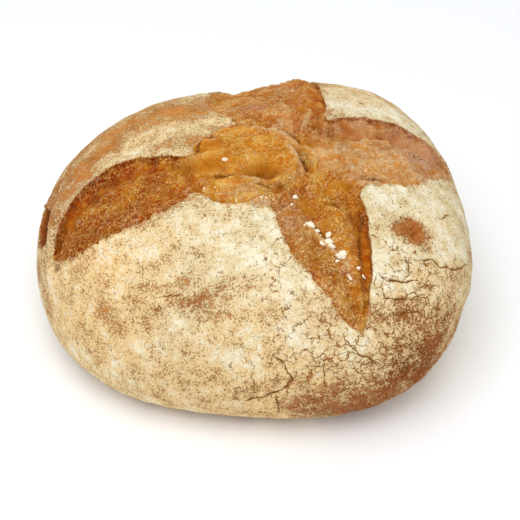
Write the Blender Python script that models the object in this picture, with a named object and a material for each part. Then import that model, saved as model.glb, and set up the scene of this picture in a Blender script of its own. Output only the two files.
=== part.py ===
"""A round farmhouse loaf, baked with its gathered seam on top.

In the oven the seam opened into a star: four lens-shaped tears run out from a pinched knob of
dough, between four petals of floured crust. The loaf is one solid. It stands on its flat
base, with the origin in the middle under it, +X along its longer side and +Z up.
"""

from collections import namedtuple

import bmesh
import bpy
import numpy as np
from mathutils import noise

# The loaf's overall form, in metres
MEAN_RADIUS = 0.125
CROWN_HEIGHT = 0.116
WAIST_HEIGHT = 0.045
FOOT_SHARE = 0.68
SHOULDER_POWER = 2.37
UNDERCUT_POWER = 2.28
# Each wave of the outline: how many lobes, and its cosine and sine share of the mean radius
OUTLINE_WAVES = ((2, 0.062, -0.011), (3, -0.040, -0.0065), (4, -0.031, -0.012))
CROWN_LEAN = (0.021, 0.013)

# Places on the crust are given as if it were peeled off and laid flat: metres to the right
# of the crown and metres behind it, measured along the surface.
# A side of a tear is its greatest half-width, how far out that comes, and how pointed it is.
# A floor is heights across the tear, from its right edge (-1) to its left edge (1), looking out.
Tear = namedtuple("Tear", "root tip left right floor lip_side lip_height")
TEARS = (
    Tear(  # left
        root=(-0.038, -0.024), tip=(-0.131, -0.042),
        left=(0.0155, 0.45, 0.7), right=(0.0358, 0.48, 1.2),
        floor=((-1, -0.0022), (-0.76, -0.0060), (-0.5, -0.0036), (0, -0.0014), (0.6, 0.0004), (1, -0.0004)),
        lip_side=-1, lip_height=0.0022,
    ),
    Tear(  # rear
        root=(0.000, 0.005), tip=(0.004, 0.145),
        left=(0.049, 0.50, 1.7), right=(0.029, 0.35, 0.5),
        floor=((-1, -0.0020), (-0.6, 0.0020), (-0.2, 0.0), (0.3, -0.0012), (0.75, -0.0034), (1, -0.0016)),
        lip_side=-1, lip_height=0.0012,
    ),
    Tear(  # right
        root=(0.018, 0.001), tip=(0.121, 0.015),
        left=(0.029, 0.45, 1.0), right=(0.030, 0.25, 0.9),
        floor=((-1, -0.0004), (-0.5, 0.0010), (0, -0.0004), (0.35, -0.0036), (0.55, -0.0070), (1, -0.0024)),
        lip_side=1, lip_height=0.0018,
    ),
    Tear(  # front
        root=(0.008, -0.022), tip=(0.057, -0.116),
        left=(0.0288, 0.12, 1.2), right=(0.0286, 0.40, 1.5),
        floor=((-1, 0.0), (-0.5, 0.0012), (-0.1, -0.0020), (0.3, 0.0010), (0.86, -0.0046), (1, -0.0034)),
        lip_side=1, lip_height=0.0012,
    ),
)
HEART = (-0.013, -0.014)
HEART_RADIUS = 0.037
HEART_FLOOR = -0.0006
TEAR_WALL = 0.0030
TEAR_BLEND = 0.0035
LIP_REACH = 0.010

# The seam's middle is a flap of dough with a pinched knob on it, dimpled by the baker's thumb
FLAP = (-0.015, -0.015)
FLAP_RADIUS = 0.036
FLAP_HEIGHT = 0.0020
KNOB = (-0.012, -0.018)
KNOB_RADIUS = 0.024
KNOB_HEIGHT = 0.0042
ROLLED_EDGE = 0.0030
DIMPLE = (-0.008, -0.023)
DIMPLE_RADII = (0.0130, 0.0095)
DIMPLE_DEPTH = 0.0072

# Round hollows in the torn dough: place, radii across and along, depth
HOLLOWS = (
    ((0.035, 0.019), (0.0080, 0.0070), 0.0030),
    ((-0.031, -0.016), (0.0080, 0.0070), 0.0020),
    ((-0.028, 0.040), (0.0130, 0.0060), 0.0030),
    ((0.014, 0.005), (0.0060, 0.0050), 0.0030),
    ((-0.002, -0.052), (0.0060, 0.0070), 0.0014),
)

# Folds that run along a line of places: half-width, and height, which is below zero for a crease
DOUGH_FOLDS = (
    (((-0.026, 0.024), (-0.014, 0.022), (-0.002, 0.019), (0.009, 0.009), (0.015, 0.001)), 0.0022, -0.0026),
    (((0.010, 0.000), (0.014, -0.010), (0.017, -0.022)), 0.0024, -0.0026),
    (((0.013, 0.010), (0.016, 0.026)), 0.0030, 0.0022),
    (((-0.034, -0.030), (-0.022, -0.033), (-0.012, -0.036)), 0.0020, 0.0014),
    (((-0.014, -0.041), (-0.004, -0.043), (0.005, -0.040)), 0.0018, -0.0024),
    (((0.041, -0.021), (0.059, -0.0205)), 0.0018, -0.0020),
    (((0.026, -0.037), (0.034, -0.046)), 0.0014, -0.0018),
)
CRUST_FOLDS = (
    (((-0.125, 0.003), (-0.130, -0.013), (-0.135, -0.036), (-0.139, -0.055), (-0.148, -0.062)), 0.0042, 0.0026),
    (((-0.133, -0.045), (-0.129, -0.052)), 0.0018, -0.0030),
)

# The split in the left flank, beyond the left tear
SIDE_SPLIT = ((-0.149, 0.006), (-0.142, -0.001), (-0.137, -0.012))
SIDE_SPLIT_HALF_WIDTH = 0.0045
SIDE_SPLIT_DEPTH = 0.0070

# Unevenness of the whole crust, and of the torn dough: height and size of the lumps
CRUST_SWELL = ((0.0014, 0.055), (0.0006, 0.020))
TORN_LUMPS = ((0.0009, 0.0080), (0.0005, 0.0045))
EDGE_WANDER = ((0.0016, 0.013), (0.0007, 0.005))

CAGE_SEGMENTS = 150
TRIANGLES = 11_600
CRUST_COLOUR = (0.56, 0.30, 0.12, 1.0)
CRUST_ROUGHNESS = 0.75


def clear_scene():
    for obj in list(bpy.data.objects):
        bpy.data.objects.remove(obj)


def smoothstep(low, high, x):
    t = np.clip((x - low) / (high - low), 0, 1)
    return t * t * (3 - 2 * t)


def eased(x, points):
    """Height at x on a line through the points that levels out at each of them."""
    places, heights = np.array(points, float).T
    i = np.clip(np.searchsorted(places, x) - 1, 0, len(places) - 2)
    return heights[i] + (heights[i + 1] - heights[i]) * smoothstep(places[i], places[i + 1], x)


def lumps(points, waves, seed):
    """Smooth uneven height at each point, the sum of noises with the given heights and sizes."""
    total = np.zeros(len(points))
    for k, (height, size) in enumerate(waves):
        moved = points / size + 17.3 * (seed + 3 * k)
        total += height * np.array([noise.noise(p) for p in moved])
    return total


def profile():
    """The loaf cut from crown to base: share of the radius, height, and distance along the crust."""
    turn = np.linspace(0, np.pi / 2, 400)
    above = np.sin(turn) ** (2 / SHOULDER_POWER), np.cos(turn) ** (2 / SHOULDER_POWER)
    below = np.cos(turn[1:]) ** (2 / UNDERCUT_POWER), np.sin(turn[1:]) ** (2 / UNDERCUT_POWER)
    base = np.linspace(FOOT_SHARE, 0, 100)[1:]
    share = np.concatenate([above[0], FOOT_SHARE + (1 - FOOT_SHARE) * below[0], base])
    height = np.concatenate([
        WAIST_HEIGHT + (CROWN_HEIGHT - WAIST_HEIGHT) * above[1],
        WAIST_HEIGHT * (1 - below[1]),
        0 * base,
    ])
    steps = np.hypot(np.diff(share) * MEAN_RADIUS, np.diff(height))
    return share, height, np.concatenate([[0], np.cumsum(steps)])


SHARE, HEIGHT, ALONG = profile()
FOOT_ALONG = ALONG[-100]
WHOLE_WAY = ALONG[-1]


def plain_surface(along, around):
    """The loaf without its tears, at a distance along the crust from the crown, in a direction."""
    share = np.interp(along, ALONG, SHARE)
    height = np.interp(along, ALONG, HEIGHT)
    radius = MEAN_RADIUS * share
    radius = radius * (1 + sum(c * np.cos(n * around) + s * np.sin(n * around) for n, c, s in OUTLINE_WAVES))
    lean = height / CROWN_HEIGHT
    x = radius * np.cos(around) + CROWN_LEAN[0] * lean
    y = radius * np.sin(around) + CROWN_LEAN[1] * lean
    return np.stack([x, y, height], axis=-1)


def plain_normals(along, around):
    step, turn = 0.0002, 0.002
    down = plain_surface(along + step, around) - plain_surface(along - step, around)
    across = plain_surface(along, around + turn) - plain_surface(along, around - turn)
    normal = np.cross(down, across)
    return normal / np.linalg.norm(normal, axis=-1, keepdims=True)


def side_width(side, t):
    """Half-width of a tear's side at a share t of the way out."""
    width, peak, point = side
    t = np.clip(t, 0, 1)
    bow = (t / peak) ** peak * ((1 - t) / (1 - peak)) ** (1 - peak)
    return width * bow ** point


def tear_at(tear, flat):
    """(how far inside the tear, height of its floor, height of the lip beside it) at flat places."""
    root, tip = np.array(tear.root), np.array(tear.tip)
    length = np.linalg.norm(tip - root)
    out = (tip - root) / length
    t = (flat - root) @ out / length
    n = (flat - root) @ np.array([-out[1], out[0]])
    width = np.where(n > 0, side_width(tear.left, t), side_width(tear.right, t))
    beyond = length * np.maximum(0, np.maximum(t - 1, -t))
    inside = np.where(beyond > 0, -np.hypot(n, beyond), width - np.abs(n))
    across = np.clip(n / np.maximum(width, 0.001), -1, 1)
    taper = smoothstep(0, 0.012, width)
    floor = taper * smoothstep(0, 0.22, t) * eased(across, tear.floor)
    lip = taper * tear.lip_height * smoothstep(0.1, 0.6, tear.lip_side * across)
    return inside, floor, lip


def line_distance(flat, places):
    """Distance from flat places to a line through the given places, and the share of the way along it."""
    places = np.array(places)
    lengths = np.linalg.norm(np.diff(places, axis=0), axis=1)
    starts = np.concatenate([[0], np.cumsum(lengths)])
    best = np.full(len(flat), np.inf)
    share = np.zeros(len(flat))
    for a, b, length, start in zip(places[:-1], places[1:], lengths, starts):
        t = np.clip((flat - a) @ (b - a) / length**2, 0, 1)
        distance = np.linalg.norm(flat - a - t[:, None] * (b - a), axis=1)
        nearer = distance < best
        best = np.where(nearer, distance, best)
        share = np.where(nearer, (start + t * length) / starts[-1], share)
    return best, share


def fold_at(flat, places, half_width, height):
    distance, share = line_distance(flat, places)
    ends = np.clip(4 * np.minimum(share, 1 - share), 0.25, 1)
    return height * ends * np.exp(-((distance / half_width) ** 2))


def bowl_at(flat, place, radii):
    """1 in the middle of an oval, falling to 0 at its rim."""
    distance = np.linalg.norm((flat - np.array(place)) / np.array(radii), axis=1)
    return 1 - smoothstep(0, 1.3, distance)


def star_at(flat):
    """The four tears and the heart between them as one: (how far inside, floor, lip)."""
    tears = [tear_at(tear, flat) for tear in TEARS]
    heart = HEART_RADIUS - np.linalg.norm(flat - np.array(HEART), axis=1)
    tears.append((heart, np.full(len(flat), HEART_FLOOR), np.zeros(len(flat))))
    inside, floor, lip = (np.array(values) for values in zip(*tears))
    pull = np.exp((inside - inside.max(axis=0)) / TEAR_BLEND)
    share = pull / pull.sum(axis=0)
    depth_in = inside.max(axis=0) + TEAR_BLEND * (np.log(pull.sum(axis=0)) - 0.4)
    return depth_in, (share * floor).sum(axis=0), (share * lip).sum(axis=0)


def rolled_disc(flat, place, radius, height):
    """A low dome with a rolled edge on its right, which fades into the dough on its left."""
    away = flat - np.array(place)
    distance = np.linalg.norm(away, axis=1)
    right_side = smoothstep(-0.7, 0.5, away[:, 0] / np.maximum(distance, 0.001))
    edge = ROLLED_EDGE + (1 - right_side) * radius / 2
    dome = smoothstep(radius + edge / 2, radius - edge / 2, distance)
    roll = np.exp(-(((distance - radius + 0.0025) / 0.0030) ** 2))
    return height * (0.6 * dome + 0.4 * right_side * roll)


def relief(flat, points):
    """Height of the crust and the torn dough over the plain form."""
    depth_in, floor, lip = star_at(flat)
    depth_in = depth_in + lumps(points, EDGE_WANDER, seed=1)

    floor = floor + lumps(points, TORN_LUMPS, seed=2)
    floor = floor + rolled_disc(flat, FLAP, FLAP_RADIUS, FLAP_HEIGHT)
    floor = floor + rolled_disc(flat, KNOB, KNOB_RADIUS, KNOB_HEIGHT)
    floor = floor - DIMPLE_DEPTH * bowl_at(flat, DIMPLE, DIMPLE_RADII)
    for place, radii, depth in HOLLOWS:
        floor = floor - depth * bowl_at(flat, place, radii)
    for places, half_width, height in DOUGH_FOLDS:
        floor = floor + fold_at(flat, places, half_width, height)

    crust = lip * np.exp(np.minimum(depth_in, 0) / LIP_REACH)
    crust = crust + lumps(points, CRUST_SWELL, seed=3)
    for places, half_width, height in CRUST_FOLDS:
        crust = crust + fold_at(flat, places, half_width, height)
    crust = crust + fold_at(flat, SIDE_SPLIT, SIDE_SPLIT_HALF_WIDTH, -SIDE_SPLIT_DEPTH)

    open_share = smoothstep(-TEAR_WALL / 2, TEAR_WALL / 2, depth_in)
    return crust + (floor - crust) * open_share


def loaf_points(directions):
    """Moves points of a ball, given as directions from its middle, onto the loaf."""
    around = np.arctan2(directions[:, 1], directions[:, 0])
    tilt = np.arccos(np.clip(directions[:, 2], -1, 1))
    along = np.maximum(WHOLE_WAY * tilt / np.pi, 0.0003)
    flat = along[:, None] * np.stack([np.cos(around), np.sin(around)], axis=-1)
    points = plain_surface(along, around)
    above_foot = smoothstep(FOOT_ALONG, FOOT_ALONG - 0.035, along)
    heights = relief(flat, points) * above_foot
    points = points + heights[:, None] * plain_normals(np.minimum(along, FOOT_ALONG), around)
    points[:, 2] = np.maximum(points[:, 2], 0)
    low, high = points.min(axis=0), points.max(axis=0)
    points[:, :2] -= (low + high)[:2] / 2
    return points


def make_loaf(collection):
    """A finely divided cube is blown up to a ball, shaped into the loaf, and thinned where it is plain."""
    form = bmesh.new()
    bmesh.ops.create_cube(form, size=2)
    bmesh.ops.subdivide_edges(form, edges=form.edges[:], cuts=CAGE_SEGMENTS - 1, use_grid_fill=True)
    cube = np.array([v.co for v in form.verts])
    ball = np.tan(cube * np.pi / 4)
    ball /= np.linalg.norm(ball, axis=1, keepdims=True)
    for vertex, place in zip(form.verts, loaf_points(ball)):
        vertex.co = place
    bmesh.ops.triangulate(form, faces=form.faces[:])
    mesh = bpy.data.meshes.new("loaf")
    form.to_mesh(mesh)
    form.free()
    mesh.shade_smooth()
    loaf = bpy.data.objects.new("loaf", mesh)
    collection.objects.link(loaf)
    thin = loaf.modifiers.new("Thin out", "DECIMATE")
    thin.ratio = TRIANGLES / len(mesh.polygons)
    mesh.materials.append(crust_material())
    return loaf


def crust_material():
    material = bpy.data.materials.new("Baked crust")
    material.use_nodes = True
    shader = material.node_tree.nodes["Principled BSDF"]
    shader.inputs["Base Color"].default_value = CRUST_COLOUR
    shader.inputs["Roughness"].default_value = CRUST_ROUGHNESS
    shader.inputs["Metallic"].default_value = 0.0
    return material


def main():
    clear_scene()
    collection = bpy.data.collections.new("Round loaf")
    bpy.context.scene.collection.children.link(collection)
    make_loaf(collection)


main()
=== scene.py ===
"""A round farmhouse loaf: floured crust, torn open in the oven into a star round a pinched knob."""

from collections import namedtuple

import bpy
import numpy as np
from mathutils import Matrix, Vector, noise


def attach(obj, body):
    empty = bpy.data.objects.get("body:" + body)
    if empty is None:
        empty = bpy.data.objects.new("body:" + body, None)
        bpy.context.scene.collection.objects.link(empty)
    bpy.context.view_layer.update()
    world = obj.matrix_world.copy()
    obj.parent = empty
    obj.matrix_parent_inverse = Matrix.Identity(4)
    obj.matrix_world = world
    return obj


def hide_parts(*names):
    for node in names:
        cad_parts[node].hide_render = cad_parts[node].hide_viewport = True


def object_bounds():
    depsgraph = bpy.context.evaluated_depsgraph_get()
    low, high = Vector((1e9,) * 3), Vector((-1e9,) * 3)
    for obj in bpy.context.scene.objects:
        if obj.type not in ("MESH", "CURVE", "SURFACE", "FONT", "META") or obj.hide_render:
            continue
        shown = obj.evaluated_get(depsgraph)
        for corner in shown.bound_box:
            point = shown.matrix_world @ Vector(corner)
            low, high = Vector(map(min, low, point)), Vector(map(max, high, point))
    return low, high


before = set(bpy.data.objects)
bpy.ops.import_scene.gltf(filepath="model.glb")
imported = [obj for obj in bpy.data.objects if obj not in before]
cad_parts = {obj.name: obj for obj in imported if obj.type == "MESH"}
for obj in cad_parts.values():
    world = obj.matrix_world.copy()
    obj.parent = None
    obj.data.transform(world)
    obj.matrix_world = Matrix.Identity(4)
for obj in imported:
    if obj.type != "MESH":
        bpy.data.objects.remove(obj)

cad_box = [list(corner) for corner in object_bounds()]


# The loaf
# Flour, water, yeast and salt, baked on a stone. The dough was gathered into a ball with its
# seam on top, and the seam tore open in the oven: four lens-shaped tears run out from the
# pinched knob, between petals of crust that carry the flour of the proving basket.

MEAN_RADIUS = 0.125
CROWN_HEIGHT = 0.116
WAIST_HEIGHT = 0.045
FOOT_SHARE = 0.68
SHOULDER_POWER = 2.37
UNDERCUT_POWER = 2.28
# Each wave of the outline: how many lobes, and its cosine and sine share of the mean radius
OUTLINE_WAVES = ((2, 0.062, -0.011), (3, -0.040, -0.0065), (4, -0.031, -0.012))
CROWN_LEAN = (0.021, 0.013)

# Places on the crust are given as if it were peeled off and laid flat: metres to the right
# of the crown and metres behind it, measured along the surface.
# A side of a tear is its greatest half-width, how far out that comes, and how pointed it is.
# A floor is heights across the tear, and a tone is colours across it, from its right edge (-1)
# to its left edge (1), looking out.
Tear = namedtuple("Tear", "root tip left right floor lip_side lip_height tone")
TEARS = (
    Tear(  # left
        root=(-0.038, -0.024), tip=(-0.131, -0.042),
        left=(0.0155, 0.45, 0.7), right=(0.0358, 0.48, 1.2),
        floor=((-1, -0.0014), (-0.76, -0.0058), (-0.5, -0.0036), (0, -0.0014), (0.6, 0.0004), (1, -0.0004)),
        lip_side=-1, lip_height=0.0022,
        tone=((-1, "#A65402"), (-0.7, "#AA5A04"), (-0.4, "#B6680C"), (0, "#BC6C0E"), (1, "#AC5808")),
    ),
    Tear(  # rear
        root=(0.000, 0.005), tip=(0.004, 0.145),
        left=(0.049, 0.50, 1.7), right=(0.029, 0.35, 0.5),
        floor=((-1, -0.0020), (-0.6, 0.0020), (-0.2, 0.0), (0.3, -0.0012), (0.75, -0.0034), (1, -0.0016)),
        lip_side=-1, lip_height=0.0012,
        tone=((-1, "#C07622"), (-0.6, "#C47826"), (-0.35, "#D28E48"), (0.3, "#CF893B"), (1, "#D6943E")),
    ),
    Tear(  # right
        root=(0.018, 0.001), tip=(0.121, 0.015),
        left=(0.029, 0.45, 1.0), right=(0.030, 0.25, 0.9),
        floor=((-1, -0.0004), (-0.5, 0.0010), (0, -0.0004), (0.35, -0.0036), (0.55, -0.0066), (1, -0.0012)),
        lip_side=1, lip_height=0.0018,
        tone=((-1, "#DEA460"), (-0.2, "#DEA45E"), (0.4, "#CC8E4C"), (0.55, "#BC7A42"), (1, "#C0804C")),
    ),
    Tear(  # front
        root=(0.008, -0.022), tip=(0.057, -0.116),
        left=(0.0288, 0.12, 1.2), right=(0.0286, 0.40, 1.5),
        floor=((-1, 0.0), (-0.5, 0.0012), (-0.1, -0.0020), (0.3, 0.0010), (0.86, -0.0046), (1, -0.0034)),
        lip_side=1, lip_height=0.0012,
        tone=(
            (-1, "#BC7834"), (-0.4, "#BE7E2C"), (-0.05, "#C67A1A"),
            (0.3, "#CE8624"), (0.8, "#BC7210"), (1, "#BE7210"),
        ),
    ),
)
HEART = (-0.013, -0.014)
HEART_RADIUS = 0.037
HEART_FLOOR = -0.0006
TEAR_WALL = 0.0026
FLOOR_RUN = 0.32

# Where the torn edge strays from the plain lens shapes: place, radii, and how far out it lies
EDGE_STRAYS = (
    ((-0.010, -0.045), (0.008, 0.005), -0.0045),
    ((-0.047, -0.036), (0.004, 0.003), -0.0030),
    ((-0.030, -0.043), (0.010, 0.004), 0.0015),
    ((-0.072, -0.046), (0.030, 0.006), 0.0024),
    ((-0.118, -0.056), (0.014, 0.008), 0.0028),
    ((0.048, -0.054), (0.006, 0.026), 0.0008),
    ((0.051, -0.088), (0.007, 0.018), 0.0030),
    ((0.048, -0.112), (0.012, 0.010), 0.0030),
    ((0.024, -0.094), (0.010, 0.012), -0.0012),
    ((0.078, -0.020), (0.034, 0.008), 0.0046),
)
TEAR_BLEND = 0.0035
LIP_REACH = 0.010
FULL_LIP = 0.0012

# The lip leans out over the wall, and the wall's foot lies back: how far inside the edge, how wide
OVERHANG = 0.0007
LIP_LEAN = (-0.0012, 0.0016)
FOOT_LEAN = (0.0020, 0.0015)

# The seam's middle is a flap of dough with a pinched knob on it, dimpled by the baker's thumb
FLAP = (-0.015, -0.015)
FLAP_RADIUS = 0.036
FLAP_HEIGHT = 0.0020
KNOB = (-0.012, -0.018)
KNOB_RADIUS = 0.024
KNOB_HEIGHT = 0.0042
ROLLED_EDGE = 0.0030
ROLL_INSET = 0.0025
ROLL_WIDTH = 0.0030
DIMPLE = (-0.008, -0.023)
DIMPLE_RADII = (0.0130, 0.0095)
DIMPLE_DEPTH = 0.0078
# Where painted shade darkens the dimple, at the foot of its front wall
DIMPLE_FOOT = (-0.010, -0.0255)
DIMPLE_FOOT_RADII = (0.0095, 0.0052)

# Where the torn dough is craggier than elsewhere, with more painted highlight on its veins: place, radii,
# and how much
CRAGGY = (
    ((0.058, 0.008), (0.036, 0.014), 0.80),
    ((0.006, 0.040), (0.024, 0.026), 0.35),
    ((0.024, -0.012), (0.014, 0.014), 0.50),
)

# Round hollows in the torn dough: place, radii across and along, depth
HOLLOWS = (
    ((0.035, 0.019), (0.0080, 0.0070), 0.0030),
    ((-0.031, -0.016), (0.0080, 0.0070), 0.0020),
    ((-0.028, 0.040), (0.0130, 0.0060), 0.0030),
    ((0.014, 0.005), (0.0060, 0.0050), 0.0030),
    ((-0.002, -0.052), (0.0060, 0.0070), 0.0014),
)

# Folds that run along a line of places: half-width, and height, which is below zero for a crease
DOUGH_FOLDS = (
    (((-0.026, 0.024), (-0.014, 0.022), (-0.002, 0.019), (0.009, 0.009), (0.015, 0.001)), 0.0022, -0.0026),
    (((0.010, 0.000), (0.014, -0.010), (0.017, -0.022)), 0.0024, -0.0026),
    (((0.013, 0.010), (0.016, 0.026)), 0.0030, 0.0022),
    (((-0.034, -0.030), (-0.022, -0.033), (-0.012, -0.036)), 0.0020, 0.0014),
    (((-0.014, -0.041), (-0.004, -0.043), (0.005, -0.040)), 0.0018, -0.0013),
    (((0.041, -0.021), (0.059, -0.0205)), 0.0018, -0.0020),
    (((0.026, -0.037), (0.034, -0.046)), 0.0010, -0.0018),
)
CRUST_FOLDS = (
    (
        ((-0.125, 0.003), (-0.130, -0.013), (-0.135, -0.036), (-0.139, -0.055), (-0.148, -0.062)),
        0.0042, 0.0026,
    ),
    (((-0.133, -0.045), (-0.129, -0.052)), 0.0018, -0.0030),
    (((-0.148, 0.009), (-0.134, 0.007)), 0.0022, 0.0022),
    (((-0.133, 0.015), (-0.125, 0.009)), 0.0014, -0.0022),
)

# Where the whole top sank a little: place, radii, depth
SUNKEN = (
    ((-0.040, 0.066), (0.018, 0.020), 0.0042),
    ((-0.016, 0.080), (0.020, 0.020), 0.0040),
)

# Rims where one layer of dough ends on another: their pale tone is a painted highlight along the crest,
# over a dusting of flour
RIMS = (
    (
        (-0.024, 0.019), (-0.013, 0.018), (0.000, 0.013), (0.006, 0.006),
        (0.012, 0.001), (0.019, -0.005), (0.023, -0.017),
    ),
    ((0.002, 0.002), (0.006, -0.004), (0.010, -0.012), (0.013, -0.020), (0.012, -0.026), (0.006, -0.034)),
    ((-0.008, -0.037), (-0.014, -0.034), (-0.019, -0.030), (-0.024, -0.025)),
    ((0.019, 0.033), (0.016, 0.022), (0.013, 0.010)),
    ((-0.040, 0.008), (-0.033, 0.008)),
    (
        (0.011, -0.058), (0.017, -0.061), (0.025, -0.069), (0.033, -0.075),
        (0.039, -0.080), (0.042, -0.087), (0.045, -0.092),
    ),
    ((0.031, 0.019), (0.037, 0.015), (0.048, 0.014), (0.065, 0.019), (0.083, 0.025)),
    ((-0.036, 0.042), (-0.029, 0.030), (-0.022, 0.033)),
)
RIM_HALF_WIDTH = 0.0013
RIM_HEIGHT = 0.0008

# Creases between layers, and slits in the dough
CREASES = (
    ((-0.019, 0.022), (-0.006, 0.019), (0.007, 0.010), (0.014, 0.003), (0.019, -0.002)),
    ((0.008, -0.002), (0.012, -0.009), (0.015, -0.017), (0.015, -0.025)),
    ((-0.019, -0.026), (-0.013, -0.031), (-0.008, -0.031), (-0.003, -0.028)),
    ((-0.016, -0.036), (-0.006, -0.040), (0.004, -0.038)),
    ((-0.041, 0.012), (-0.032, 0.010)),
    ((-0.042, 0.008), (-0.044, -0.005)),
    ((-0.038, -0.024), (-0.030, -0.026), (-0.023, -0.027)),
    ((-0.112, -0.026), (-0.108, -0.015), (-0.102, -0.008), (-0.092, 0.000)),
    ((0.042, -0.035), (0.043, -0.040), (0.045, -0.047), (0.045, -0.058), (0.046, -0.070), (0.049, -0.084)),
    ((0.025, -0.043), (0.028, -0.045), (0.031, -0.044), (0.034, -0.047)),
    ((0.013, -0.056), (0.019, -0.060), (0.027, -0.068), (0.035, -0.073), (0.041, -0.079)),
    ((0.081, 0.012), (0.095, 0.009), (0.101, 0.008), (0.113, 0.013)),
    ((0.043, -0.022), (0.053, -0.021), (0.059, -0.021), (0.066, -0.018)),
    ((-0.036, 0.039), (-0.029, 0.028), (-0.021, 0.031), (-0.012, 0.038)),
)
CREASE_HALF_WIDTH = 0.0008
CREASE_DEPTH = 0.0014
# A fold's painted shade grows with its depth as a share of this
DEEPEST_FOLD = 0.0050

# Pockets of damp dough that never dried out: smooth, and golden all the way down
POCKETS = (
    ((0.015, 0.002), (0.0070, 0.0050)),
    ((0.038, 0.015), (0.0080, 0.0045)),
    ((0.035, -0.028), (0.0060, 0.0035)),
    ((-0.037, 0.001), (0.0080, 0.0065)),
    ((-0.037, -0.015), (0.0110, 0.0090)),
    ((-0.050, -0.014), (0.0050, 0.0040)),
    ((-0.008, -0.023), (0.0120, 0.0085)),
    ((-0.024, 0.034), (0.0110, 0.0040)),
    ((-0.036, -0.033), (0.0020, 0.0040)),
    ((0.017, -0.050), (0.0060, 0.0080)),
    ((0.027, -0.062), (0.0030, 0.0060)),
)

# Sides of the tears that slid apart smoothly: place, radii
SMOOTH_SIDES = (
    ((0.024, 0.045), (0.007, 0.035)),
    ((0.050, -0.070), (0.004, 0.025)),
    ((0.060, 0.026), (0.030, 0.006)),
    ((0.092, 0.026), (0.022, 0.006)),
)

# A floor this low, from the first height to the second, is a wall that slid apart smoothly
WALL_FLOORS = (-0.0030, -0.0055)

# The split in the left flank, beyond the left tear
SIDE_SPLIT = ((-0.146, 0.012), (-0.1445, -0.005), (-0.142, -0.023))
SIDE_SPLIT_HALF_WIDTH = 0.0105
SIDE_SPLIT_DEPTH = 0.0064

# Cracks in the floured skin, where it set before the loaf had finished growing: half-width, places
CRACKS = (
    (0.00030, ((0.069, -0.068), (0.072, -0.073), (0.073, -0.077), (0.071, -0.081))),
    (0.00032, ((0.056, -0.082), (0.061, -0.084), (0.071, -0.082), (0.080, -0.078))),
    (0.00026, ((0.078, -0.083), (0.091, -0.077))),
    (0.00028, ((0.077, -0.068), (0.087, -0.064), (0.093, -0.066), (0.108, -0.062), (0.120, -0.053))),
    (0.00024, ((0.055, -0.091), (0.060, -0.089), (0.063, -0.094), (0.079, -0.088), (0.086, -0.083))),
    (0.00024, ((0.067, -0.101), (0.076, -0.098), (0.086, -0.093))),
    (0.00030, ((0.045, -0.119), (0.050, -0.123), (0.060, -0.127), (0.077, -0.127))),
    (0.00030, ((0.039, -0.136), (0.045, -0.144), (0.048, -0.151))),
    (0.00024, ((0.033, -0.143), (0.045, -0.138))),
    (0.00024, ((0.030, -0.135), (0.037, -0.140))),
    (0.00038, ((0.008, -0.142), (0.014, -0.143), (0.020, -0.149), (0.026, -0.153), (0.021, -0.161))),
    (0.00045, ((-0.007, -0.174), (0.009, -0.169), (0.021, -0.161), (0.026, -0.156))),
    (0.00030, ((0.017, -0.164), (0.023, -0.176), (0.030, -0.184))),
    (0.00030, ((-0.003, -0.156), (0.000, -0.167))),
    (0.00026, ((-0.017, -0.163), (-0.015, -0.170))),
    (0.00024, ((0.059, -0.032), (0.063, -0.038))),
    (0.00026, ((0.064, -0.045), (0.068, -0.046))),
    (0.00020, ((0.091, -0.039), (0.105, -0.029))),
    (0.00014, ((-0.069, -0.096), (-0.057, -0.100), (-0.052, -0.098))),
    (0.00022, ((-0.038, -0.128), (-0.037, -0.134))),
)
USUAL_CRACK = 0.0003
CRACK_DEPTH = 0.0007
CRACK_MOUTH = 0.0009
CRACK_TAPER = 0.006
CRACK_REACH = 0.0022
FAR_FROM_CRACKS = 0.009

# Where the skin is crazed all over: place, radii, and how strongly
CRAZING = (
    ((0.005, -0.090), (0.014, 0.014), 0.9),
    ((0.038, -0.130), (0.036, 0.024), 0.85),
    ((0.075, -0.085), (0.035, 0.025), 0.8),
    ((0.010, -0.160), (0.040, 0.016), 0.30),
    ((0.085, -0.140), (0.030, 0.020), 0.7),
)

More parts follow.
